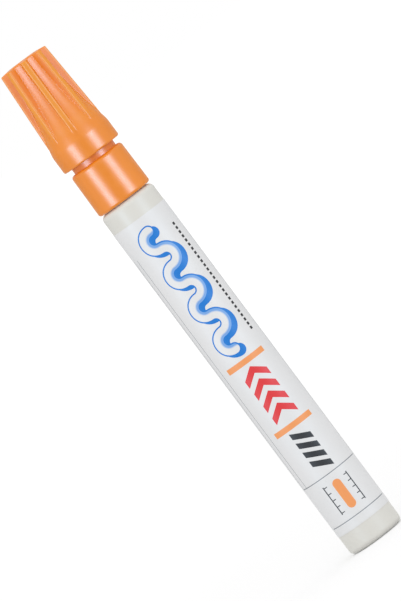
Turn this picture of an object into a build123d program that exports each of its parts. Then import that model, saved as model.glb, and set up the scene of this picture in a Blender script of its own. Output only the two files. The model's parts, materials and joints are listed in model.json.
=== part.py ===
from build123d import *
import os
from math import atan2, cos, pi, radians, sin, sqrt, tau

# Paint marker with a spring-loaded valve, standing on its base with the cap on.
# The axis of every piece is Z, the base is at z = 0 and the label's front faces -Y.
# All sizes are in millimetres.

# Fits
press_clearance = 0.02
running_clearance = 0.08
seal_clearance = 0.12
rest_gap = 0.02

# Valve stem and the passage round it
stem_radius = 0.95
port_gap = 0.55
stem_head_thickness = 1.1
stem_head_gap = 0.6
stem_tail_setback = 0.4

# Valve seat ring
seat_width = 1.4
seat_thickness = 1.0
seat_lip = 0.1

# Valve case
case_wall = 0.9
port_wall = 1.3
case_flange_thickness = 1.1
case_plug_length = 3.6
case_plug_width = 1.2
window_count = 4
window_width = 2.0
window_margin = 1.0

# Spring and its retainer
spring_length = 9.0
spring_turns = 7
wire_radius = 0.2
spring_stem_gap = 0.6
retainer_thickness = 1.6
drain_count = 4
drain_radius = 0.4

# Barrel
barrel_height = 97.9
barrel_wall = 0.6
barrel_floor = 1.1
barrel_foot_round = 1.3
barrel_shoulder_round = 1.4
neck_step = 1.48
neck_height = 8.2
neck_bead_rise = 3.2
neck_bead_radius = 0.25
foot_recess_radius = 4.2
foot_recess_depth = 0.4

# Label film
label_thickness = 0.08
label_bottom = 5.4
label_length = 87.4
label_overlap_angle = 20.0

# Gasket on the barrel's mouth
gasket_thickness = 0.6
gasket_setback = 0.1

# Collar and its neck
collar_gap = 0.15
collar_wall = 1.38
collar_flare = 0.12
collar_roof = 1.7
collar_top_round = 0.85
collar_foot_round = 0.7
collar_ledge = 1.1
collar_neck_wall = 1.25
collar_neck_height = 4.85
collar_neck_round = 0.35

# Tip section
shank_wall = 1.2
cone_setback = 0.1
cone_height = 3.1
tube_wall = 1.7
tube_height = 7.3
tube_round = 0.45
tube_draft = 0.08
throat_height = 1.4
vent_count = 6
vent_width = 0.5
vent_depth = 0.35

# Nib
nib_radius = 1.87
nib_length = 19.0
nib_reach = 5.5
nib_point_height = 2.3
nib_point_flat = 0.55

# Mixing ball
ball_radius = 3.5

# Cap
cap_gap = 1.4
cap_rim_wall = 1.85
cap_rim_round = 0.45
cap_mouth_bevel = 0.25
cap_mouth_margin = 0.6
cap_band_height = 4.7
cap_flare_height = 1.9
cap_flare = 0.38
cap_flare_round = 4.0
cap_crest_taper = 1.1
cap_wall = 0.55
cap_roof = 1.6
cap_top_round = 0.4
cap_dish_margin = 1.6
cap_dish_depth = 0.35
rib_count = 8
rib_width = 1.7
rib_height = 1.75
rib_crown_flat = 0.3
rib_foot = 1.0
rib_top_bevel = 0.3

# Inner cap
inner_cap_wall = 0.5
inner_cap_roof = 0.6
inner_lip_rise = 1.3
inner_lip_thickness = 0.7
nib_headroom = 5.55

# Radii, from the valve stem outwards
port_radius = stem_radius + port_gap
seat_bore = port_radius + seat_lip
case_bore = seat_bore + seat_width
case_radius = case_bore + case_wall
plug_radius = case_radius + case_plug_width
neck_bore = plug_radius + press_clearance
neck_radius = neck_bore + barrel_wall
barrel_radius = neck_radius + neck_step
barrel_bore = barrel_radius - barrel_wall
label_radius = barrel_radius + label_thickness
collar_bore = neck_radius + press_clearance
collar_radius = neck_radius + collar_wall
shank_radius = neck_radius - collar_ledge
collar_neck_radius = shank_radius + collar_neck_wall
chamber_radius = shank_radius - shank_wall
cone_radius = collar_neck_radius - cone_setback
nib_bore = nib_radius + running_clearance
tube_radius = nib_bore + tube_wall
stem_head_radius = case_bore - stem_head_gap
spring_radius = stem_radius + spring_stem_gap + wire_radius
cap_bore = collar_neck_radius + running_clearance
band_radius = cap_bore + cap_rim_wall
flare_radius = band_radius - cap_flare
crest_radius = flare_radius - cap_crest_taper
waist_radius = crest_radius - rib_height

# Heights, from the base upwards
mouth_z = barrel_height + neck_height
flange_z = mouth_z + gasket_thickness
flange_top_z = flange_z + case_flange_thickness
collar_z = barrel_height + collar_gap
collar_top_z = flange_top_z + collar_roof
neck_top_z = collar_top_z + collar_neck_height
cone_top_z = neck_top_z + cone_height
tube_top_z = cone_top_z + tube_height
nib_tip_z = tube_top_z + nib_reach
nib_rear_z = nib_tip_z - nib_length
seat_top_z = flange_top_z - port_wall
seat_z = seat_top_z - seat_thickness
head_z = seat_z - stem_head_thickness
retainer_top_z = head_z - spring_length
case_z = retainer_top_z - retainer_thickness
tail_z = case_z + stem_tail_setback
plug_z = flange_z - case_plug_length
rim_z = collar_top_z + cap_gap
band_top_z = rim_z + cap_band_height
flare_end_z = band_top_z + cap_flare_height
liner_roof_z = nib_tip_z + nib_headroom
cavity_top_z = liner_roof_z + inner_cap_roof
cap_top_z = cavity_top_z + cap_roof
cap_mouth_z = neck_top_z + cap_mouth_margin
lip_z = neck_top_z + inner_lip_rise
lip_top_z = lip_z + inner_lip_thickness


def cavity_radius(z):
    """Radius of the cap's tapered cavity at height z."""
    top_radius = waist_radius - cap_wall
    share = (z - cap_mouth_z) / (cavity_top_z - cap_mouth_z)
    return cap_bore + (top_radius - cap_bore) * share


def tip_cone_radius(z):
    """Radius of the tip section's cone at height z."""
    return cone_radius + (tube_radius - cone_radius) * (z - neck_top_z) / cone_height


def polar(radius, angle):
    """Point at a radius and an angle in a section across the axis."""
    return (radius * cos(angle), radius * sin(angle))


def finish(name, piece):
    """Labels a finished piece and writes it under its name."""
    piece.part.label = name
    export_step(piece.part, f"parts/{name}.step")


os.makedirs("parts", exist_ok=True)


# Barrel: one drawn tube, rounded at the base and drawn in to a neck at the top
shoulder_round = min(barrel_shoulder_round, 0.95 * neck_step)
inner_shoulder_round = max(shoulder_round - barrel_wall, 0.5 * barrel_wall)
inner_foot_round = max(barrel_foot_round - barrel_wall, 0.5 * barrel_wall)
with BuildPart() as barrel:
    with BuildSketch(Plane.XZ):
        with BuildLine():
            FilletPolyline(
                (0, foot_recess_depth),
                (foot_recess_radius, foot_recess_depth),
                (foot_recess_radius + foot_recess_depth, 0),
                (barrel_radius, 0),
                (barrel_radius, barrel_height),
                (neck_radius, barrel_height),
                (neck_radius, mouth_z),
                (neck_bore, mouth_z),
                (neck_bore, barrel_height - barrel_wall),
                (barrel_bore, barrel_height - barrel_wall),
                (barrel_bore, barrel_floor),
                (0, barrel_floor),
                radius=[0, 0, 0, barrel_foot_round, shoulder_round, 0, 0, 0, 0,
                        inner_shoulder_round, inner_foot_round, 0],
                close=True,
            )
        make_face()
    revolve(axis=Axis.Z)
    with BuildSketch(Plane.XZ):
        with Locations((neck_radius, barrel_height + neck_bead_rise)):
            Circle(neck_bead_radius)
    revolve(axis=Axis.Z)
finish("barrel", barrel)

# Label film: one turn round the barrel, with its end lapped over its start at the back
lap_start = pi / 2 - radians(label_overlap_angle) / 2
lap_plane = Plane((0, 0, 0), x_dir=polar(1, lap_start), z_dir=(sin(lap_start), -cos(lap_start), 0))
with BuildPart() as label_wrap:
    with BuildSketch(Plane.XZ):
        with Locations((barrel_radius, label_bottom)):
            Rectangle(label_thickness, label_length, align=(Align.MIN, Align.MIN))
    revolve(axis=Axis.Z)
    with BuildSketch(lap_plane):
        with Locations((label_radius, label_bottom)):
            Rectangle(label_thickness, label_length, align=(Align.MIN, Align.MIN))
    revolve(axis=Axis.Z, revolution_arc=label_overlap_angle)
finish("label_wrap", label_wrap)

# Gasket: flat ring on the barrel's mouth
with BuildPart() as barrel_gasket:
    with BuildSketch(Plane.XY.offset(mouth_z)):
        Circle(neck_radius - gasket_setback)
        Circle(plug_radius + press_clearance, mode=Mode.SUBTRACT)
    extrude(amount=gasket_thickness)
finish("barrel_gasket", barrel_gasket)

# Valve case: flange on the gasket, plug in the neck, and a cage with side windows
with BuildPart() as valve_case:
    with BuildSketch(Plane.XZ):
        with BuildLine():
            Polyline(
                (port_radius, flange_top_z),
                (neck_radius, flange_top_z),
                (neck_radius, flange_z),
                (plug_radius, flange_z),
                (plug_radius, plug_z),
                (case_radius, plug_z),
                (case_radius, case_z),
                (case_bore, case_z),
                (case_bore, seat_top_z),
                (port_radius, seat_top_z),
                close=True,
            )
        make_face()
    revolve(axis=Axis.Z)
    with BuildSketch(Plane.XY.offset(retainer_top_z + window_margin)):
        with PolarLocations(0.5 * (case_bore + case_radius), window_count):
            Rectangle(2 * case_wall, window_width)
    extrude(amount=plug_z - retainer_top_z - 2 * window_margin, mode=Mode.SUBTRACT)
finish("valve_case", valve_case)

# Seat ring: soft ring under the port
with BuildPart() as valve_seat_ring:
    with BuildSketch(Plane.XY.offset(seat_z)):
        Circle(case_bore)
        Circle(seat_bore, mode=Mode.SUBTRACT)
    extrude(amount=seat_thickness)
finish("valve_seat_ring", valve_seat_ring)

# Spring retainer: plug in the case's lower end, with a guide hole and drain holes
guide_radius = stem_radius + running_clearance
drain_circle = 0.5 * (guide_radius + case_bore)
with BuildPart() as spring_retainer:
    with BuildSketch(Plane.XY.offset(case_z)):
        Circle(case_bore)
        Circle(guide_radius, mode=Mode.SUBTRACT)
        with PolarLocations(drain_circle, drain_count):
            Circle(drain_radius, mode=Mode.SUBTRACT)
    extrude(amount=retainer_thickness)
finish("spring_retainer", spring_retainer)

# Valve stem: tail through the spring, head under the seat ring, rod up to the nib
with BuildPart() as valve_stem:
    with BuildSketch(Plane.XZ):
        with BuildLine():
            Polyline(
                (0, tail_z),
                (stem_radius, tail_z),
                (stem_radius, head_z),
                (stem_head_radius, head_z),
                (stem_head_radius, seat_z),
                (stem_radius, seat_z),
                (stem_radius, nib_rear_z),
                (0, nib_rear_z),
                close=True,
            )
        make_face()
    revolve(axis=Axis.Z)
finish("valve_stem", valve_stem)

# Valve spring: one helix of biarcs, two to each quarter turn
coil_start_z = retainer_top_z + rest_gap + wire_radius
coil_rise = spring_length - 2 * (rest_gap + wire_radius)
coil_pitch = coil_rise / spring_turns
quarter_count = 4 * spring_turns


def coil_point(turn):
    """Point on the spring's centre line after a number of turns."""
    angle = tau * turn
    return Vector(*polar(spring_radius, angle), coil_start_z + coil_pitch * turn)


def coil_tangent(turn):
    """Direction of the spring's centre line after a number of turns."""
    angle = tau * turn
    run = tau * spring_radius
    return Vector(-run * sin(angle), run * cos(angle), coil_pitch).normalized()


def biarc_joint(start, end, start_tangent, end_tangent):
    """Point where the two arcs of a biarc meet."""
    chord = end - start
    bend = 1 - start_tangent.dot(end_tangent)
    along = chord.dot(start_tangent + end_tangent)
    reach = (sqrt(along ** 2 + 2 * bend * chord.dot(chord)) - along) / (2 * bend)
    return (start + end) * 0.5 + (start_tangent - end_tangent) * (0.5 * reach)


with BuildPart() as valve_spring:
    with BuildLine() as coil:
        for quarter in range(quarter_count):
            turn = quarter / 4
            next_turn = (quarter + 1) / 4
            joint = biarc_joint(
                coil_point(turn), coil_point(next_turn), coil_tangent(turn), coil_tangent(next_turn)
            )
            arc = TangentArc(coil_point(turn), joint, tangent=coil_tangent(turn))
            TangentArc(joint, coil_point(next_turn), tangent=arc % 1)
    with BuildSketch(Plane(origin=coil_point(0), z_dir=coil_tangent(0))):
        Circle(wire_radius)
    sweep(path=coil.wire())
finish("valve_spring", valve_spring)

points_per_turn = 48
coil_points = [coil_point(i / points_per_turn) for i in range(points_per_turn * spring_turns + 1)]
half_turn = points_per_turn // 2
least_gap = min(
    (coil_points[j] - coil_points[i]).length - 2 * wire_radius
    for i in range(len(coil_points))
    for j in range(i + half_turn, len(coil_points))
)
print(f"valve_spring least gap to itself {least_gap:.3f} mm")
wire_length = spring_turns * sqrt((tau * spring_radius) ** 2 + coil_pitch ** 2)
wire_volume = pi * wire_radius ** 2 * wire_length
print(f"valve_spring volume {valve_spring.part.volume:.4f} mm3, wire {wire_volume:.4f} mm3")

# Collar: skirt over the barrel's neck, roof over the valve flange, and the neck for the cap
with BuildPart() as collar:
    with BuildSketch(Plane.XZ):
        with BuildLine():
            FilletPolyline(
                (collar_bore, collar_z),
                (collar_radius + collar_flare, collar_z),
                (collar_radius, collar_top_z),
                (collar_neck_radius, collar_top_z),
                (collar_neck_radius, neck_top_z),
                (shank_radius, neck_top_z),
                (shank_radius, flange_top_z),
                (collar_bore, flange_top_z),
                radius=[0, collar_foot_round, collar_top_round, 0, collar_neck_round, 0, 0, 0],
                close=True,
            )
        make_face()
    revolve(axis=Axis.Z)
    with BuildSketch(Plane.XZ):
        with Locations((neck_radius, barrel_height + neck_bead_rise)):
            Circle(neck_bead_radius + press_clearance)
    revolve(axis=Axis.Z, mode=Mode.SUBTRACT)
finish("collar", collar)

# Tip section: shank in the collar's neck, cone and tube, bored and vented for the nib
throat_z = neck_top_z - throat_height
with BuildPart() as tip_section:
    with BuildSketch(Plane.XZ):
        with BuildLine():
            FilletPolyline(
                (shank_radius, flange_top_z),
                (shank_radius, neck_top_z),
                (cone_radius, neck_top_z),
                (tube_radius, cone_top_z),
                (tube_radius - tube_draft, tube_top_z),
                (nib_bore, tube_top_z),
                (nib_bore, neck_top_z),
                (chamber_radius, throat_z),
                (chamber_radius, flange_top_z),
                radius=[0, 0, 0, 0, tube_round, 0, 0, 0, 0],
                close=True,
            )
        make_face()
    revolve(axis=Axis.Z)
    with BuildSketch(Plane.XY.offset(throat_z)):
        with PolarLocations(0, vent_count):
            Rectangle(nib_bore + vent_depth, vent_width, align=(Align.MIN, Align.CENTER))
    extrude(until=Until.LAST, mode=Mode.SUBTRACT)
finish("tip_section", tip_section)

# Nib: round rod with a bullet point and a flat rear end on the stem
with BuildPart() as nib:
    with BuildSketch(Plane.XZ):
        with BuildLine():
            Polyline(
                (nib_point_flat, nib_tip_z),
                (0, nib_tip_z),
                (0, nib_rear_z),
                (nib_radius, nib_rear_z),
                (nib_radius, nib_tip_z - nib_point_height),
            )
            TangentArc(
                (nib_radius, nib_tip_z - nib_point_height),
                (nib_point_flat, nib_tip_z),
                tangent=(0, 1),
            )
        make_face()
    revolve(axis=Axis.Z)
finish("nib", nib)

# Mixing ball: loose on the barrel's floor
with BuildPart() as mixing_ball:
    with Locations((0, 0, barrel_floor + rest_gap + ball_radius)):
        Sphere(ball_radius)
finish("mixing_ball", mixing_ball)

# Cap shell: plain band at the rim, a flare that curves up into the waist, and round-edged ribs on it
crest_tilt = atan2(cap_crest_taper, cap_top_z - flare_end_z)
rib_depth = rib_height + 0.5 * cap_wall
rib_round = min(0.5 * (rib_width - rib_crown_flat), 0.95 * rib_depth)
rib_length = rib_foot + (cap_top_z - flare_end_z) / cos(crest_tilt) + rib_height
front_angle = -pi / 2


def rib_plane(angle):
    """Plane across a rib at its foot, with its origin on the crest and Y towards the axis."""
    along = Vector(*polar(-sin(crest_tilt), angle), cos(crest_tilt))
    flare_end = Vector(*polar(flare_radius, angle), flare_end_z)
    return Plane(origin=flare_end - along * rib_foot, x_dir=(-sin(angle), cos(angle), 0), z_dir=along)


with BuildPart() as cap_shell:
    with BuildSketch(Plane.XZ):
        with BuildLine():
            FilletPolyline(
                (0, cap_top_z),
                (0, rim_z),
                (band_radius, rim_z),
                (band_radius, band_top_z),
                (flare_radius, flare_end_z),
                radius=[0, cap_rim_round, cap_flare_round],
            )
            TangentArc(
                (flare_radius, flare_end_z),
                (waist_radius, cap_top_z),
                tangent=(-cap_flare, cap_flare_height),
            )
            Line((waist_radius, cap_top_z), (0, cap_top_z))
        make_face()
        top_corner = vertices().sort_by_distance((waist_radius, cap_top_z))[0]
        fillet(top_corner, radius=cap_top_round)
    revolve(axis=Axis.Z)
    with BuildSketch(*[rib_plane(front_angle + tau * index / rib_count) for index in range(rib_count)]):
        with BuildLine():
            FilletPolyline(
                (-0.5 * rib_width, 0),
                (0.5 * rib_width, 0),
                (0.5 * rib_width, rib_depth),
                (-0.5 * rib_width, rib_depth),
                radius=[rib_round, rib_round, 0, 0],
                close=True,
            )
        make_face()
    extrude(amount=rib_length)
    with BuildSketch(Plane.XZ):
        with BuildLine():
            Polyline(
                (0, cap_top_z),
                (crest_radius - rib_top_bevel, cap_top_z),
                (crest_radius + rib_height, cap_top_z - rib_top_bevel - rib_height),
                (crest_radius + rib_height, cap_top_z + 2 * rib_height),
                (0, cap_top_z + 2 * rib_height),
                close=True,
            )
        make_face()
    revolve(axis=Axis.Z, mode=Mode.SUBTRACT)
    with BuildSketch(Plane.XZ):
        with BuildLine():
            Polyline(
                (0, rim_z),
                (cap_bore + cap_mouth_bevel, rim_z),
                (cap_bore, rim_z + cap_mouth_bevel),
                (cap_bore, cap_mouth_z),
                (cavity_radius(cavity_top_z), cavity_top_z),
                (0, cavity_top_z),
                close=True,
            )
        make_face()
    revolve(axis=Axis.Z, mode=Mode.SUBTRACT)
    with BuildSketch(Plane.XY.offset(cap_top_z - cap_dish_depth)):
        Circle(waist_radius - cap_dish_margin)
    extrude(amount=cap_dish_depth, mode=Mode.SUBTRACT)
finish("cap_shell", cap_shell)

# Inner cap: tapered liner in the cap's cavity, with a lip that closes round the tip's cone
with BuildPart() as inner_cap:
    with BuildSketch(Plane.XZ):
        with BuildLine():
            Polyline(
                (0, cavity_top_z),
                (cavity_radius(cavity_top_z), cavity_top_z),
                (cavity_radius(lip_z), lip_z),
                (tip_cone_radius(lip_z) + seal_clearance, lip_z),
                (tip_cone_radius(lip_z) + seal_clearance, lip_top_z),
                (cavity_radius(lip_top_z) - inner_cap_wall, lip_top_z),
                (cavity_radius(liner_roof_z) - inner_cap_wall, liner_roof_z),
                (0, liner_roof_z),
                close=True,
            )
        make_face()
    revolve(axis=Axis.Z)
finish("inner_cap", inner_cap)
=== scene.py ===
import json
from math import acos, asin, atan2, copysign, cos, hypot, pi, radians, sin, tan, tau

import bpy
from mathutils import Matrix, Vector


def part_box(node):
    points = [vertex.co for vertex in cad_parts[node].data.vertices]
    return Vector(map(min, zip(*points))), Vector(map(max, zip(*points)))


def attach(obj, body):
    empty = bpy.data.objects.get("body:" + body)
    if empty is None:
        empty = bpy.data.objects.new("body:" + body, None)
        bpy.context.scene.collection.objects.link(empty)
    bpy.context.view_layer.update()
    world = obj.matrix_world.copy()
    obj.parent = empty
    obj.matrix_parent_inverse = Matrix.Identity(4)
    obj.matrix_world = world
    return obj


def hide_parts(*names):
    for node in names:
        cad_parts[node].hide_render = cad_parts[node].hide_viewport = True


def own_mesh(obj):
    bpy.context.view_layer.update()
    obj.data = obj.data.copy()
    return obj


# Looks of a valve-action paint marker that stands on its base with the cap on.
# The axis is Z and the label's front faces -Y. Azimuths are counted from the front towards +X.
# Sizes are in millimetres.

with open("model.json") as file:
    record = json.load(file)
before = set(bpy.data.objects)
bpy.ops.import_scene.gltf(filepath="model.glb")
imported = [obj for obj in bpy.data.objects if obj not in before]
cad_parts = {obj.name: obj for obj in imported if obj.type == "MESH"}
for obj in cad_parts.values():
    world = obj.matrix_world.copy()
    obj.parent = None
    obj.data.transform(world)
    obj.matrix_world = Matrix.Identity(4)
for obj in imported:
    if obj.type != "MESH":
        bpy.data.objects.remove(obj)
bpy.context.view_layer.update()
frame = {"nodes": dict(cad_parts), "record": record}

MM = 0.001
FRONT = -pi / 2


def srgb(red, green, blue):
    """Linear colour from the 0 to 255 values that a screen shows."""
    channels = [value / 255 for value in (red, green, blue)]
    linear = [c / 12.92 if c <= 0.04045 else ((c + 0.055) / 1.055) ** 2.4 for c in channels]
    return (*linear, 1.0)


def grey(value):
    """Linear colour without hue."""
    return (value, value, value, 1.0)


def node_box(node):
    """Lowest and highest corner of a solid, in millimetres."""
    low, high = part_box(node)
    return low / MM, high / MM


# Camera, at the photograph's perspective and roll
PHOTO_WIDTH = 401
PHOTO_HEIGHT = 601
FOCAL_PIXELS = 8185.0
SENSOR_HEIGHT = 36.0
CAMERA_DISTANCE = 1898.0
CAMERA_ELEVATION = radians(2.65)
CAMERA_ROLL = radians(36.697)
CAMERA_CLIP = (10.0, 100000.0)
MIDDLE_Z = 69.3
MIDDLE_PIXEL = (199.155, 298.384)

# Lamps
KEY_RADIANCE = 0.8
KEY_DISTANCE = 1500.0
KEY_SIZE = 1200.0
KEY_ELEVATION = radians(30.0)
STRIP_RADIANCE = 18.0
STRIP_COLOUR = (0.6, 0.8, 1.0)
STRIP_LEFT = radians(-44.0)
STRIP_RIGHT = radians(41.0)
STRIP_DISTANCE = 400.0
STRIP_WIDTH = 160.0
STRIP_HEIGHT = 196.0
STRIP_FROM_Z = 4.0

# Cards that shape the light. A gobo's slit reaches further on the side of the front.
CARD_HEIGHT = 260.0
GOBO_DISTANCE = 9.0
GOBO_INNER = 6.4
GOBO_OUTER = 5.4
GOBO_END = 14.0
FLAG_STEP = radians(6.0)
FLAG_BACK = dict(distance=240.0, start=radians(105.0), end=radians(255.0), shade=0.6)
FLAG_FRONT = dict(distance=420.0, start=radians(-26.0), end=radians(19.0), shade=0.2)

# Floor
FLOOR_Z = -0.05
FLOOR_SIZE = 12000.0
FLOOR_SHADE = 0.7
FLOOR_GLOW = (0.27, 0.4)
FLOOR_GLOW_REACH = (150.0, 1500.0)

# Cap
cap_low, cap_high = node_box("cap_shell")
RIM_Z = cap_low.z
CAP_TOP_Z = cap_high.z
BAND_RADIUS = cap_high.x
CAP_BORE = 5.95
CAP_MOUTH_BEVEL = 0.25
CAP_MOUTH_Z = 114.95
CAVITY_TOP_RADIUS = 4.02
CAVITY_TOP_Z = 136.4
RIM_ROUND = 0.45
BAND_HEIGHT = 4.7
FLARE_HEIGHT = 1.9
FLARE = 0.38
FLARE_ROUND = 4.0
CREST_TAPER = 1.1
RIB_COUNT = 8
RIB_WIDTH = 1.5
RIB_HEIGHT = 1.75
RIB_LEAST_HEIGHT = 0.08
RIB_EDGE_ROUND = 0.4
RIB_LEAST_ROUND = 0.04
RIB_ROOT_ROUND = 0.22
RIB_DRAFT = radians(8.0)
RIB_LEVELS = 56
WAIST_TOP_SLOPE = tan(radians(2.0))
CAP_TOP_ROUND = 0.22
CROWN_RADIUS = 3.6
CROWN_FALL = 0.36
CROWN_ONSET = 8
CREST_HIGHLIGHT_DEPTH = 0.6
CREST_HIGHLIGHT_RISE = 4.0
CREST_ROUGHER = 0.1
DISH_RADIUS = 2.97
DISH_DEPTH = 0.35
DISH_BEVEL = 0.1
BAND_TOP_Z = RIM_Z + BAND_HEIGHT
FLARE_END_Z = BAND_TOP_Z + FLARE_HEIGHT
FLARE_RADIUS = BAND_RADIUS - FLARE
CREST_TOP_RADIUS = FLARE_RADIUS - CREST_TAPER
WAIST_TOP_RADIUS = CREST_TOP_RADIUS - RIB_HEIGHT

# Label film
label_low, label_high = node_box("label_wrap")
BARREL_RADIUS = 7.2
FILM_THICKNESS = 0.08
LABEL_RADIUS = BARREL_RADIUS + FILM_THICKNESS
LAP_ANGLE = radians(20.0)
LAP_RAMP = radians(3.0)
FILM_STEP = radians(2.0)

# Label print. Places are u, round the barrel from its front to the right, and v, up the barrel.
RULE_US = (-9.6, -7.7, 10.3)
RULE_V = 52.0
RULE_SIZE = (0.16, 66.0)
CROSS_RULE_VS = (7.7, 19.2)
CROSS_RULE_SIZE = (19.0, 0.22)
BAR_VS = (33.2, 51.6)
BAR_SIZE = (11.0, 1.4)
CHEVRONS = dict(first_v=38.6, pitch=3.5, count=4, width=6.4, weight=1.9, slope=0.75)
WIDE_DASHES = dict(centre=(0.0, 26.6), width=4.6, pitch=2.6, count=4, share=0.6, slant=0.5)
NARROW_DASHES = dict(centre=(6.5, 72.2), width=0.8, pitch=1.2, count=26, share=0.6, slant=0.0)
BEND_RADIUS = 2.4
BEND_COUNT = 7
RIBBON_HALF_WIDTH = 1.5
RIBBON_OUTLINE = 0.34
RIBBON_CENTRE = (-0.3, 72.2)
RIBBON_SHADE = (0.85, -0.85)
RIBBON_FADE = (0.3, 0.7)
PATCH_V = 13.4
PATCH_WIDTH = 2.2
PATCH_HEIGHT = 5.6
SCALE_U = 3.4
SCALE_SIZE = (0.28, 7.8)
TICK_U = 0.84 * SCALE_U
TICK_SIZE = (0.8, 0.22)
TICK_PITCH = 1.75
INK_RED = srgb(226, 50, 52)
INK_BLUE = srgb(0, 120, 212)
INK_PALE_BLUE = srgb(120, 168, 230)
INK_BLACK = srgb(45, 45, 47)
INK_ORANGE = srgb(244, 158, 92)
INK_GREY = srgb(140, 145, 150)

# Nib
nib_low, nib_high = node_box("nib")
NIB_RADIUS = nib_high.x
NIB_FOOT_BEVEL = 0.15
NIB_POINT_HEIGHT = 2.3
NIB_POINT_FLAT = 0.55
NIB_FIBRES = 44
NIB_FIBRE_DEPTH = 0.02
NIB_SIDES = 4 * NIB_FIBRES

# Valve spring
spring_low, spring_high = node_box("valve_spring")
SPRING_TURNS = 7
SPRING_RADIUS = 1.75
SPRING_STEPS = 32 * SPRING_TURNS
WIRE_RADIUS = 0.2
WIRE_SIDES = 10

# Range that holds most of a noise's values
NOISE_RANGE = (0.3, 0.7)


class Shader:
    """A material's node tree, with short calls for the nodes that are used here."""

    def __init__(self, name):
        self.material = bpy.data.materials.new(name)
        self.material.use_nodes = True
        self.tree = self.material.node_tree
        self.surface = self.tree.nodes["Principled BSDF"]

    def add(self, kind, **settings):
        """Adds a node and sets its options."""
        node = self.tree.nodes.new(kind)
        for name, value in settings.items():
            setattr(node, name, value)
        return node

    def feed(self, socket, value):
        """Links an output to a socket, or sets the socket's own value."""
        if isinstance(value, bpy.types.NodeSocket):
            self.tree.links.new(value, socket)
        else:
            socket.default_value = value

    def set(self, **values):
        """Sets or links inputs of the surface, named with underscores for spaces."""
        for name, value in values.items():
            self.feed(self.surface.inputs[name.replace("_", " ")], value)

    def math(self, operation, *values):
        """Output of one math node."""
        node = self.add("ShaderNodeMath", operation=operation)
        for socket, value in zip(node.inputs, values):
            self.feed(socket, value)
        return node.outputs["Value"]

    def diagonal(self, first, second):
        """Length of the diagonal over two lengths."""
        square = self.math("MULTIPLY_ADD", first, first, self.math("MULTIPLY", second, second))
        return self.math("SQRT", square)

    def ramp(self, value, start, end, low=0.0, high=1.0):
        """A number that goes from low to high as the value goes from start to end."""
        node = self.add("ShaderNodeMapRange")
        names = ("Value", "From Min", "From Max", "To Min", "To Max")
        for name, number in zip(names, (value, start, end, low, high)):
            self.feed(node.inputs[name], number)
        return node.outputs["Result"]

    def mix(self, share, first, second):
        """A colour between two."""
        node = self.add("ShaderNodeMix", data_type="RGBA")
        colours = [socket for socket in node.inputs if socket.type == "RGBA"]
        self.feed(node.inputs["Factor"], share)
        self.feed(colours[0], first)
        self.feed(colours[1], second)
        return next(socket for socket in node.outputs if socket.type == "RGBA")

    def place(self, sizes):
        """Output for the place on the piece, counted in a size along each axis."""
        mapping = self.add("ShaderNodeMapping")
        self.feed(mapping.inputs["Vector"], self.add("ShaderNodeTexCoord").outputs["Object"])
        self.feed(mapping.inputs["Scale"], [1 / (size * MM) for size in sizes])
        return mapping.outputs["Vector"]

    def axes(self):
        """Outputs for the place along X, Y and Z, in millimetres."""
        split = self.add("ShaderNodeSeparateXYZ")
        self.feed(split.inputs["Vector"], self.place((1.0, 1.0, 1.0)))
        return split.outputs

    def noise(self, size, detail=2.0, stretch=(1.0, 1.0, 1.0)):
        """Smooth noise with lumps of about this size, times the stretch."""
        node = self.add("ShaderNodeTexNoise")
        self.feed(node.inputs["Vector"], self.place([size * axis for axis in stretch]))
        self.feed(node.inputs["Scale"], 1.0)
        self.feed(node.inputs["Detail"], detail)
        return node.outputs["Fac"]

    def drift(self, size, low, high, **noise):
        """A number that drifts from low to high, in patches of about this size."""
        return self.ramp(self.noise(size, **noise), *NOISE_RANGE, low, high)

    def patches(self, size, first, second, detail=3.0, **noise):
        """A colour that drifts between two, in patches of about this size."""
        return self.mix(self.drift(size, 0.0, 1.0, detail=detail, **noise), first, second)

    def bump(self, size, depth, **noise):
        """Raises lumps of about this size by up to a depth."""
        node = self.add("ShaderNodeBump")
        self.feed(node.inputs["Distance"], depth * MM)
        self.feed(node.inputs["Height"], self.noise(size, **noise))
        self.set(Normal=node.outputs["Normal"])

    def seen_directly(self):
        """1 on rays that show the surface to the camera, in a reflection or through glass."""
        path = self.add("ShaderNodeLightPath").outputs
        camera_or_gloss = self.math("MAXIMUM", path["Is Camera Ray"], path["Is Glossy Ray"])
        return self.math("MAXIMUM", camera_or_gloss, path["Is Transmission Ray"])


def crest_highlight_mask(shader):
    """Mask of a painted highlight: 1 on the crests of the cap's ribs, fading to 0 down their flanks and
    towards the flare.
    """
    x, y, z = shader.axes()
    crest = shader.ramp(z, FLARE_END_Z, CAP_TOP_Z, FLARE_RADIUS, CREST_TOP_RADIUS)
    depth = shader.math("SUBTRACT", crest, shader.diagonal(x, y))
    near = shader.ramp(depth, 0.0, CREST_HIGHLIGHT_DEPTH, 1.0, 0.0)
    return shader.math("MULTIPLY", near, shader.ramp(z, FLARE_END_Z, FLARE_END_Z + CREST_HIGHLIGHT_RISE))


def orange_plastic():
    """Moulded satin plastic of the cap and collar, with a painted highlight on the ribs' crests for
    light that gets through them.
    """
    shader = Shader("orange_plastic_moulded")
    crest_highlight = crest_highlight_mask(shader)
    colour = shader.patches(6.0, srgb(238, 137, 26), srgb(241, 141, 32))
    rough = shader.drift(1.5, low=0.3, high=0.35)
    shader.set(
        # Painted highlight: a lighter orange on the ribs' crests; the same mask makes them a little
        # rougher.
        Base_Color=shader.mix(crest_highlight, colour, srgb(240, 150, 28)),
        Roughness=shader.math("MULTIPLY_ADD", crest_highlight, CREST_ROUGHER, rough),
    )
    shader.bump(0.16, depth=0.002)
    return shader.material


def ivory_lacquer():
    """Lacquered metal of the barrel, with a faint orange peel."""
    shader = Shader("ivory_lacquer")
    shader.set(
        Base_Color=shader.patches(9.0, srgb(222, 221, 215), srgb(225, 224, 218)),
        Roughness=shader.drift(2.0, low=0.34, high=0.4),
        Specular_IOR_Level=0.14,
    )
    shader.bump(0.7, depth=0.002)
    return shader.material


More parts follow.
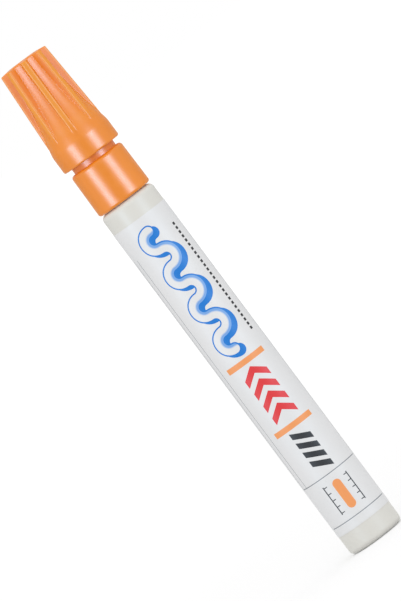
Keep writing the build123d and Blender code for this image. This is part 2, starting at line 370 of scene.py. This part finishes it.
def natural_plastic():
    """Unpigmented plastic of the tip section and the valve parts."""
    shader = Shader("natural_plastic_moulded")
    shader.set(
        Base_Color=shader.patches(3.0, srgb(222, 218, 206), srgb(230, 227, 217)),
        Roughness=shader.drift(0.8, low=0.36, high=0.46),
    )
    shader.bump(0.12, depth=0.002)
    return shader.material


def liner_plastic():
    """Soft white plastic of the cap's liner."""
    shader = Shader("liner_plastic_moulded")
    shader.set(
        Base_Color=shader.patches(4.0, srgb(229, 229, 226), srgb(235, 235, 233)),
        Roughness=shader.drift(1.0, low=0.42, high=0.52),
    )
    shader.bump(0.2, depth=0.002)
    return shader.material


def nib_fibre():
    """Bonded fibres that run along the nib, soaked with orange paint."""
    shader = Shader("nib_fibre_soaked")
    along = (1.0, 1.0, 14.0)
    shader.set(
        Base_Color=shader.patches(
            0.12, srgb(226, 122, 38), srgb(243, 160, 78), detail=4.0, stretch=along
        ),
        Roughness=shader.drift(0.3, low=0.7, high=0.9),
    )
    shader.bump(0.1, depth=0.02, detail=3.0, stretch=along)
    return shader.material


def stem_plastic():
    """Dark moulded plastic of the valve stem."""
    shader = Shader("stem_plastic_moulded")
    shader.set(
        Base_Color=shader.patches(1.0, srgb(122, 127, 136), srgb(130, 135, 144)),
        Roughness=shader.drift(0.4, low=0.38, high=0.48),
    )
    shader.bump(0.1, depth=0.002)
    return shader.material


def seal_rubber():
    """Matte black rubber of the seals."""
    shader = Shader("seal_rubber_matte")
    shader.set(
        Base_Color=shader.patches(0.8, srgb(60, 60, 60), srgb(68, 67, 66)),
        Roughness=shader.drift(0.3, low=0.75, high=0.9),
    )
    shader.bump(0.08, depth=0.004)
    return shader.material


def bright_steel():
    """Bright steel of the ball and the spring, with fine polishing marks."""
    shader = Shader("steel_bright")
    shader.set(
        Base_Color=shader.patches(0.6, srgb(196, 197, 200), srgb(206, 206, 208)),
        Roughness=shader.drift(0.2, low=0.16, high=0.26),
        Metallic=1.0,
    )
    shader.bump(0.05, depth=0.001, stretch=(1.0, 1.0, 8.0))
    return shader.material


class Artwork(Shader):
    """Shader of a film with inks, which are laid out round the barrel (u) and up it (v)."""

    def __init__(self, name):
        super().__init__(name)
        self.film = self.patches(12.0, srgb(228, 229, 230), srgb(231, 231, 232))
        self.colour = self.film
        x, y, self.v = self.axes()
        angle = self.math("ARCTAN2", x, self.math("MULTIPLY", y, -1.0))
        self.u = self.math("MULTIPLY", angle, LABEL_RADIUS)

    def ink(self, mask, colour):
        """Prints a colour where the mask is 1."""
        self.colour = self.mix(mask, self.colour, colour)

    def near(self, value, centre, half):
        """1 where a value lies within half of a centre."""
        return self.math("COMPARE", value, centre, half)

    def both(self, first, second):
        """1 where both masks are."""
        return self.math("MULTIPLY", first, second)

    def either(self, first, second):
        """1 where one of the masks is."""
        return self.math("MAXIMUM", first, second)

    def offsets(self, centre):
        """Distances round the barrel and up it from a centre."""
        return self.math("SUBTRACT", self.u, centre[0]), self.math("SUBTRACT", self.v, centre[1])

    def bar(self, centre, size):
        """Mask of an upright rectangle."""
        across = self.near(self.u, centre[0], size[0] / 2)
        along = self.near(self.v, centre[1], size[1] / 2)
        return self.both(across, along)

    def disc(self, centre, radius):
        """Mask of a round dot."""
        return self.math("LESS_THAN", self.diagonal(*self.offsets(centre)), radius)

    def chevrons(self, first_v, pitch, count, width, weight, slope):
        """Mask of a row of chevrons that point up the barrel."""
        slanted = self.math("MULTIPLY_ADD", self.math("ABSOLUTE", self.u), slope, self.v)
        mask = self.near(slanted, first_v, weight / 2)
        for index in range(1, count):
            mask = self.either(mask, self.near(slanted, first_v + index * pitch, weight / 2))
        return self.both(mask, self.near(self.u, 0.0, width / 2))

    def dashes(self, centre, width, pitch, count, share, slant):
        """Mask of a row of dashes, level or slanted, that runs up the barrel."""
        half = count * pitch / 2
        across, above = self.offsets((centre[0], centre[1] - half))
        along = self.math("MULTIPLY_ADD", across, slant, above)
        step = self.math("FRACT", self.math("DIVIDE", along, pitch))
        row = self.both(self.near(across, 0.0, width / 2), self.near(along, half, half))
        return self.both(row, self.math("LESS_THAN", step, share))

    def meander(self, centre):
        """Distances from a line of half circles that swings to both sides as it runs up the barrel.

        The first distance is outward from the circles' centres, the second is to the right.
        """
        across, along = self.offsets(centre)
        swing = self.math("COSINE", self.math("MULTIPLY", along, pi / (2 * BEND_RADIUS)))
        beside = self.math("LESS_THAN", self.math("MULTIPLY", across, swing), 0.0)
        bend = self.math("ABSOLUTE", self.math("WRAP", along, BEND_RADIUS, -BEND_RADIUS))
        reach = self.math("MULTIPLY_ADD", beside, -2 * BEND_RADIUS, bend)
        outward = self.math("SUBTRACT", self.diagonal(reach, across), BEND_RADIUS)
        return outward, self.math("MULTIPLY", outward, self.math("SIGN", across))

    def ribbon(self, centre, half_width):
        """Mask of a meandering ribbon with round ends, whose first and last bends lie to the left."""
        reach = BEND_COUNT * BEND_RADIUS
        left = self.math("LESS_THAN", self.u, centre[0])
        limit = self.math("MULTIPLY_ADD", left, 2 * BEND_RADIUS, reach - BEND_RADIUS)
        beside = self.near(self.meander(centre)[0], 0.0, half_width)
        mask = self.both(beside, self.near(self.v, centre[1], limit))
        for end in (-reach, reach):
            mask = self.either(mask, self.disc((centre[0], centre[1] + end), half_width))
        return mask


def print_rows(art):
    """Prints the rules, the bars, the chevrons and the dashes."""
    for u in RULE_US:
        art.ink(art.bar((u, RULE_V), RULE_SIZE), INK_GREY)
    for v in CROSS_RULE_VS:
        art.ink(art.bar((0.0, v), CROSS_RULE_SIZE), INK_GREY)
    for v in BAR_VS:
        art.ink(art.bar((0.0, v), BAR_SIZE), INK_ORANGE)
    art.ink(art.chevrons(**CHEVRONS), INK_RED)
    art.ink(art.dashes(**WIDE_DASHES), INK_BLACK)
    art.ink(art.dashes(**NARROW_DASHES), INK_BLACK)


def print_ribbon(art):
    """Prints the outlined ribbon over its shade. Its right side fades into a pale blue."""
    shade_centre = (RIBBON_CENTRE[0] + RIBBON_SHADE[0], RIBBON_CENTRE[1] + RIBBON_SHADE[1])
    for centre in (shade_centre, RIBBON_CENTRE):
        art.ink(art.ribbon(centre, RIBBON_HALF_WIDTH), INK_BLUE)
    rightward = art.meander(RIBBON_CENTRE)[1]
    fade = art.mix(art.ramp(rightward, *RIBBON_FADE), art.film, INK_PALE_BLUE)
    art.ink(art.ribbon(RIBBON_CENTRE, RIBBON_HALF_WIDTH - RIBBON_OUTLINE), fade)


def print_patch(art):
    """Prints the colour patch, which has round ends and a scale on each side."""
    art.ink(art.bar((0.0, PATCH_V), (PATCH_WIDTH, PATCH_HEIGHT)), INK_ORANGE)
    for end in (-PATCH_HEIGHT / 2, PATCH_HEIGHT / 2):
        art.ink(art.disc((0.0, PATCH_V + end), PATCH_WIDTH / 2), INK_ORANGE)
    for side in (-1, 1):
        art.ink(art.bar((side * SCALE_U, PATCH_V), SCALE_SIZE), INK_BLACK)
        for tick in (-2, -1, 0, 1, 2):
            centre = (side * TICK_U, PATCH_V + tick * TICK_PITCH)
            art.ink(art.bar(centre, TICK_SIZE), INK_BLACK)


def label_film():
    """Satin film with a plain printed design."""
    art = Artwork("label_film_printed")
    print_rows(art)
    print_ribbon(art)
    print_patch(art)
    art.set(
        Base_Color=art.colour,
        Roughness=art.drift(2.5, low=0.48, high=0.56),
        Specular_IOR_Level=0.3,
    )
    art.bump(0.3, depth=0.001)
    return art.material


def add_object(name, data):
    """Puts an object into the scene."""
    item = bpy.data.objects.new(name, data)
    bpy.context.scene.collection.objects.link(item)
    return item


def mesh_piece(name, points, faces, material, body, node, crease=35.0):
    """Makes a piece of a closed mesh that stands for a solid and rides on its body."""
    mesh = bpy.data.meshes.new(name)
    mesh.from_pydata([Vector(point) * MM for point in points], [], faces)
    mesh.shade_smooth()
    mesh.set_sharp_from_angle(angle=radians(crease))
    mesh.materials.append(material)
    piece = add_object(name, mesh)
    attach(piece, body)
    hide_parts(node)
    return piece


def closed_tube(rings):
    """Points and faces of a closed skin through rings of as many points, anticlockwise from above."""
    count = len(rings[0])
    points = [point for ring in rings for point in ring]
    faces = [tuple(reversed(range(count)))]
    for start in range(0, len(points) - count, count):
        for index in range(count):
            after = (index + 1) % count
            faces.append((start + index, start + after, start + count + after, start + count + index))
    faces.append(tuple(range(len(points) - count, len(points))))
    return points, faces


def polar(reach, turn):
    """Point in a plane at a distance and an angle from its origin."""
    return reach * cos(turn), reach * sin(turn)


def circle(radius, z, angles):
    """Ring of points at a height."""
    return [(*polar(radius, angle), z) for angle in angles]


def arc(centre, radius, start, end, steps):
    """Points of an arc in a plane, both ends included."""
    turns = [start + (end - start) * step / steps for step in range(steps + 1)]
    return [(centre[0] + radius * cos(turn), centre[1] + radius * sin(turn)) for turn in turns]


def waist_radius(z):
    """Radius of the cap's body above the flare: a parabola that is almost upright at the top."""
    height = CAP_TOP_Z - FLARE_END_Z
    share = (CAP_TOP_Z - z) / height
    straight = WAIST_TOP_SLOPE * height
    curved = FLARE_RADIUS - WAIST_TOP_RADIUS - straight
    return WAIST_TOP_RADIUS + straight * share + curved * share ** 2


def crest_radius(z):
    """Radius of the ribs' crests, which run straight from the flare to the top."""
    return FLARE_RADIUS - CREST_TAPER * (z - FLARE_END_Z) / (CAP_TOP_Z - FLARE_END_Z)


def half_rib(crest, body, half_width, edge, root):
    """Section across the cap, from the middle of a rib at angle 0 to the middle of the next valley.

    Crest and body are radii of the section, edge and root are the roundings of the rib's flank.
    """
    edge_reach = crest - edge
    root_reach = body + root
    edge_turn = asin((half_width - edge) / edge_reach)
    edge_centre = polar(edge_reach, edge_turn)
    flank_turn = pi / 2 - RIB_DRAFT
    flank_reach = edge_reach * cos(flank_turn - edge_turn) + edge
    root_turn = flank_turn - acos((flank_reach + root) / root_reach)
    if edge_reach * sin(flank_turn - edge_turn) < root_reach * sin(flank_turn - root_turn):
        # A low rib has no room for a straight flank, so its two roundings meet
        squares = edge_reach ** 2 + root_reach ** 2 - (edge + root) ** 2
        root_turn = edge_turn + acos(squares / (2 * edge_reach * root_reach))
        x, y = polar(root_reach, root_turn)
        flank_turn = atan2(y - edge_centre[1], x - edge_centre[0])
    root_centre = polar(root_reach, root_turn)
    land = arc((0, 0), crest, 0, edge_turn, steps=2)
    corner = arc(edge_centre, edge, edge_turn, flank_turn, steps=8)
    fillet = arc(root_centre, root, pi + flank_turn, pi + root_turn, steps=6)
    valley = arc((0, 0), body, root_turn, pi / RIB_COUNT, steps=6)
    return land + corner[1:] + fillet + valley[1:]


def ribbed_ring(z, inset=0.0):
    """Ring round the cap at a height, with the ribs standing on the body."""
    body = waist_radius(z) - inset
    rise = max(crest_radius(z) - inset - body, 0.0)
    crest = body + max(rise, RIB_LEAST_HEIGHT)
    sink = min(rise / RIB_LEAST_HEIGHT, 1.0)
    edge = max(RIB_EDGE_ROUND - inset, RIB_LEAST_ROUND)
    half = half_rib(crest, body, RIB_WIDTH / 2 - inset, edge, RIB_ROOT_ROUND + inset)
    pitch = [(x, -y) for x, y in reversed(half[1:])] + half[:-1]
    ring = []
    for rib in range(RIB_COUNT):
        turn = FRONT + tau * rib / RIB_COUNT
        for x, y in pitch:
            radius = body + (hypot(x, y) - body) * sink
            ring.append((*polar(radius, atan2(y, x) + turn), z))
    return ring


def crowned(ring, share=1.0):
    """Lowers a ring's outer points, because the cap's top falls away evenly towards the crests."""
    slope = share * CROWN_FALL / (CREST_TOP_RADIUS - CROWN_RADIUS)
    return [(x, y, z - slope * max(hypot(x, y) - CROWN_RADIUS, 0.0)) for x, y, z in ring]


def cap_rings():
    """Rings over the cap's skin: from the cavity's roof to the rim, up outside and over the top."""
    angles = [atan2(y, x) for x, y, z in ribbed_ring(FLARE_END_Z)]
    profile = [
        (CAVITY_TOP_RADIUS, CAVITY_TOP_Z),
        (CAP_BORE, CAP_MOUTH_Z),
        (CAP_BORE, RIM_Z + CAP_MOUTH_BEVEL),
        (CAP_BORE + CAP_MOUTH_BEVEL, RIM_Z),
    ]
    rim_centre = (BAND_RADIUS - RIM_ROUND, RIM_Z + RIM_ROUND)
    profile += arc(rim_centre, RIM_ROUND, -pi / 2, 0, steps=6)
    slant = atan2(FLARE, FLARE_HEIGHT)
    shoulder_centre = (BAND_RADIUS - FLARE_ROUND, BAND_TOP_Z - FLARE_ROUND * tan(slant / 2))
    profile += arc(shoulder_centre, FLARE_ROUND, 0, slant, steps=4)
    rings = [circle(radius, z, angles) for radius, z in profile]
    ribs_end = CAP_TOP_Z - CAP_TOP_ROUND
    for step in range(RIB_LEVELS):
        share = step / RIB_LEVELS
        ring = ribbed_ring(FLARE_END_Z + (ribs_end - FLARE_END_Z) * share)
        rings.append(crowned(ring, share ** CROWN_ONSET))
    for outset, z in arc((-CAP_TOP_ROUND, ribs_end), CAP_TOP_ROUND, 0, pi / 2, steps=5):
        rings.append(crowned(ribbed_ring(z, -outset)))
    for radius, z in (
        (CROWN_RADIUS, CAP_TOP_Z),
        (DISH_RADIUS + DISH_BEVEL, CAP_TOP_Z),
        (DISH_RADIUS, CAP_TOP_Z - DISH_BEVEL),
        (DISH_RADIUS, CAP_TOP_Z - DISH_DEPTH + DISH_BEVEL),
        (DISH_RADIUS - DISH_BEVEL, CAP_TOP_Z - DISH_DEPTH),
    ):
        rings.append(circle(radius, z, [atan2(y, x) for x, y, top in rings[-1]]))
    return rings


def add_cap(material):
    """Ribbed cap shell."""
    points, faces = closed_tube(cap_rings())
    return mesh_piece("cap", points, faces, material, "cap", "cap_shell")


def add_label(material):
    """Film round the barrel, whose end laps over its start at the back."""
    low, high = label_low.z, label_high.z
    reach = pi + LAP_ANGLE / 2
    steps = round(2 * reach / FILM_STEP)
    points = []
    for step in range(steps + 1):
        turn = -reach + 2 * reach * step / steps
        share = min(1.0, max(0.0, (turn - reach + LAP_ANGLE + LAP_RAMP) / LAP_RAMP))
        inner = BARREL_RADIUS + FILM_THICKNESS * share * share * (3 - 2 * share)
        outer = inner + FILM_THICKNESS
        for radius, z in ((inner, low), (outer, low), (outer, high), (inner, high)):
            points.append((radius * sin(turn), -radius * cos(turn), z))
    faces = [(0, 1, 2, 3)]
    for start in range(0, 4 * steps, 4):
        for side in range(4):
            after = (side + 1) % 4
            faces.append((start + side, start + 4 + side, start + 4 + after, start + after))
    faces.append(tuple(4 * steps + side for side in (3, 2, 1, 0)))
    return mesh_piece("label", points, faces, material, "barrel", "label_wrap")


def add_nib(material):
    """Bullet nib with fine ridges where its fibres run."""
    angles = [tau * index / NIB_SIDES for index in range(NIB_SIDES)]
    straight_z = nib_high.z - NIB_POINT_HEIGHT
    inward = NIB_RADIUS - NIB_POINT_FLAT
    bend = (inward ** 2 + NIB_POINT_HEIGHT ** 2) / (2 * inward)
    profile = [(NIB_RADIUS - NIB_FOOT_BEVEL, nib_low.z), (NIB_RADIUS, nib_low.z + NIB_FOOT_BEVEL)]
    profile += arc((NIB_RADIUS - bend, straight_z), bend, 0, asin(NIB_POINT_HEIGHT / bend), steps=10)
    rings = []
    for radius, z in profile:
        depth = NIB_FIBRE_DEPTH * radius / NIB_RADIUS
        ring = []
        for angle in angles:
            reach = radius - depth * sin(NIB_FIBRES * angle / 2) ** 2
            ring.append((*polar(reach, angle), z))
        rings.append(ring)
    points, faces = closed_tube(rings)
    return mesh_piece("fibre_nib", points, faces, material, "nib", "nib", crease=60.0)


def add_spring(material):
    """Coil spring on the retainer, with a mesh of its own; the real spring shortens as the valve opens.
    """
    sides = [tau * index / WIRE_SIDES for index in reversed(range(WIRE_SIDES))]
    bottom = spring_low.z + WIRE_RADIUS
    rise = spring_high.z - spring_low.z - 2 * WIRE_RADIUS
    rings = []
    for step in range(SPRING_STEPS + 1):
        turn = tau * SPRING_TURNS * step / SPRING_STEPS
        z = bottom + rise * step / SPRING_STEPS
        ring = []
        for side in sides:
            radius = SPRING_RADIUS + WIRE_RADIUS * cos(side)
            ring.append((*polar(radius, turn), z + WIRE_RADIUS * sin(side)))
        rings.append(ring)
    points, faces = closed_tube(rings)
    piece = mesh_piece(
        "coil_spring", points, faces, material, "barrel", "valve_spring", crease=80.0
    )
    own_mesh(piece)
    return piece


def dress_nodes(finishes):
    """Gives each solid the finish of its slot."""
    for subpart in frame["record"]["subparts"]:
        node = frame["nodes"][subpart["node"]]
        node.data.materials.clear()
        node.data.materials.append(finishes[subpart["material_slot"]])


def add_camera():
    """Long lens a little above the front, rolled so that the marker lies across the picture."""
    data = bpy.data.cameras.new("photo_camera")
    data.sensor_fit = "VERTICAL"
    data.sensor_height = SENSOR_HEIGHT
    data.lens = SENSOR_HEIGHT * FOCAL_PIXELS / PHOTO_HEIGHT
    data.clip_start = CAMERA_CLIP[0] * MM
    data.clip_end = CAMERA_CLIP[1] * MM
    camera = add_object("photo_camera", data)
    ahead = Vector((0.0, cos(CAMERA_ELEVATION), -sin(CAMERA_ELEVATION)))
    turn = ahead.to_track_quat("-Z", "Y").to_matrix() @ Matrix.Rotation(-CAMERA_ROLL, 3, "Z")
    pixel = CAMERA_DISTANCE / FOCAL_PIXELS
    right = turn.col[0] * (PHOTO_WIDTH / 2 - MIDDLE_PIXEL[0]) * pixel
    up = turn.col[1] * (MIDDLE_PIXEL[1] - PHOTO_HEIGHT / 2) * pixel
    place = Vector((0.0, 0.0, MIDDLE_Z)) + right + up - ahead * CAMERA_DISTANCE
    camera.matrix_world = Matrix.Translation(place * MM) @ turn.to_4x4()
    bpy.context.scene.camera = camera


def away(azimuth):
    """Level direction away from the axis."""
    return Vector((sin(azimuth), -cos(azimuth), 0.0))


def add_lamp(name, data, direction, distance, z):
    """Puts a lamp in a direction from a height on the axis and aims it back at that height."""
    lamp = add_object(name, data)
    lamp.location = (direction * distance + Vector((0.0, 0.0, z))) * MM
    lamp.rotation_euler = (-direction).to_track_quat("-Z", "Y").to_euler()
    lamp.visible_camera = False
    return lamp


def add_strip(name, azimuth):
    """Upright soft box that shows as a streak on glossy surfaces."""
    data = bpy.data.lights.new(name, "AREA")
    data.shape = "RECTANGLE"
    data.size = STRIP_WIDTH * MM
    data.size_y = STRIP_HEIGHT * MM
    data.energy = STRIP_RADIANCE * pi * data.size * data.size_y
    data.color = STRIP_COLOUR
    data.cycles.use_multiple_importance_sampling = False
    strip = add_lamp(name, data, away(azimuth), STRIP_DISTANCE, STRIP_FROM_Z + STRIP_HEIGHT / 2)
    strip.visible_diffuse = False
    return strip


def add_key():
    """Large soft box above the camera that shapes the matte surfaces."""
    data = bpy.data.lights.new("key", "AREA")
    data.shape = "DISK"
    data.size = KEY_SIZE * MM
    data.energy = KEY_RADIANCE * pi * pi * data.size ** 2 / 4
    direction = Vector((0.0, -cos(KEY_ELEVATION), sin(KEY_ELEVATION)))
    key = add_lamp("key", data, direction, KEY_DISTANCE, MIDDLE_Z)
    key.visible_glossy = False
    return key


def add_card(name, feet):
    """Upright card over a line of points. The camera and the matte surfaces don't see it."""
    points = [Vector((foot.x, foot.y, z)) * MM for foot in feet for z in (FLOOR_Z, CARD_HEIGHT)]
    faces = [(low, low + 2, low + 3, low + 1) for low in range(0, len(points) - 2, 2)]
    mesh = bpy.data.meshes.new(name)
    mesh.from_pydata(points, [], faces)
    card = add_object(name, mesh)
    card.visible_camera = False
    card.visible_diffuse = False
    return card


def add_flag(name, distance, start, end, shade):
    """Dark card, seen in reflections alone, that bends round the marker between two azimuths."""
    steps = round((end - start) / FLAG_STEP)
    azimuths = [start + (end - start) * step / steps for step in range(steps + 1)]
    flag = add_card(name, [away(azimuth) * distance for azimuth in azimuths])
    shader = Shader(name + "_dark")
    shader.set(Base_Color=grey(shade), Roughness=1.0)
    flag.data.materials.append(shader.material)
    flag.visible_shadow = False


def add_gobo(name, azimuth):
    """Two cards, seen by lamps alone, that leave a slit for a strip's light close to the marker."""
    middle = away(azimuth) * GOBO_DISTANCE
    outward = Vector((cos(azimuth), sin(azimuth), 0.0)) * copysign(1.0, azimuth)
    cards = []
    for side, edge, end in (("inner", -GOBO_INNER, -GOBO_END), ("outer", GOBO_OUTER, GOBO_END)):
        card = add_card(name + "_" + side, [middle + outward * reach for reach in (edge, end)])
        card.visible_glossy = False
        card.visible_transmission = False
        cards.append(card)
    return cards


def let_through(lamp, cards):
    """Lets a lamp's light pass through some cards."""
    passed = bpy.data.collections.new(lamp.name + "_passes")
    for card in cards:
        passed.objects.link(card)
    for member in passed.collection_objects:
        member.light_linking.link_state = "EXCLUDE"
    lamp.light_linking.blocker_collection = passed


def add_world():
    """White surroundings, which aren't sampled as a lamp, because that leaves grain on the ribs."""
    world = bpy.data.worlds.new("white_studio")
    bpy.context.scene.world = world
    world.use_nodes = True
    world.cycles.sampling_method = "NONE"
    background = world.node_tree.nodes["Background"]
    background.inputs["Color"].default_value = grey(1.0)
    background.inputs["Strength"].default_value = 1.0


def add_floor():
    """White floor that keeps a pale shadow of the marker and meets the surroundings without an edge."""
    half = FLOOR_SIZE / 2 * MM
    z = FLOOR_Z * MM
    corners = [(-half, -half, z), (half, -half, z), (half, half, z), (-half, half, z)]
    mesh = bpy.data.meshes.new("studio_floor")
    mesh.from_pydata(corners, [], [(0, 1, 2, 3)])
    floor = add_object("studio_floor", mesh)
    shader = Shader("studio_floor_white")
    shader.material.cycles.emission_sampling = "NONE"
    distance = shader.diagonal(*shader.axes()[:2])
    glow = shader.ramp(distance, *FLOOR_GLOW_REACH, *FLOOR_GLOW)
    shader.set(
        Base_Color=grey(FLOOR_SHADE),
        Roughness=1.0,
        Specular_IOR_Level=0.0,
        Emission_Color=grey(1.0),
        Emission_Strength=shader.math("MULTIPLY", shader.seen_directly(), glow),
    )
    mesh.materials.append(shader.material)


finishes = {
    "barrel_lacquer": ivory_lacquer(),
    "label_film": label_film(),
    "orange_plastic": orange_plastic(),
    "liner_plastic": liner_plastic(),
    "natural_plastic": natural_plastic(),
    "nib_fibre": nib_fibre(),
    "stem_plastic": stem_plastic(),
    "seal_rubber": seal_rubber(),
    "steel": bright_steel(),
}
dress_nodes(finishes)
add_cap(finishes["orange_plastic"])
add_label(finishes["label_film"])
add_nib(finishes["nib_fibre"])
add_spring(finishes["steel"])

add_camera()
left_strip = add_strip("strip_left", STRIP_LEFT)
right_strip = add_strip("strip_right", STRIP_RIGHT)
key = add_key()
left_cards = add_gobo("gobo_left", STRIP_LEFT)
right_cards = add_gobo("gobo_right", STRIP_RIGHT)
let_through(left_strip, right_cards)
let_through(right_strip, left_cards)
let_through(key, left_cards + right_cards)
add_flag("flag_back", **FLAG_BACK)
add_flag("flag_front", **FLAG_FRONT)
add_world()
add_floor()
bpy.context.scene.view_settings.view_transform = "Standard"
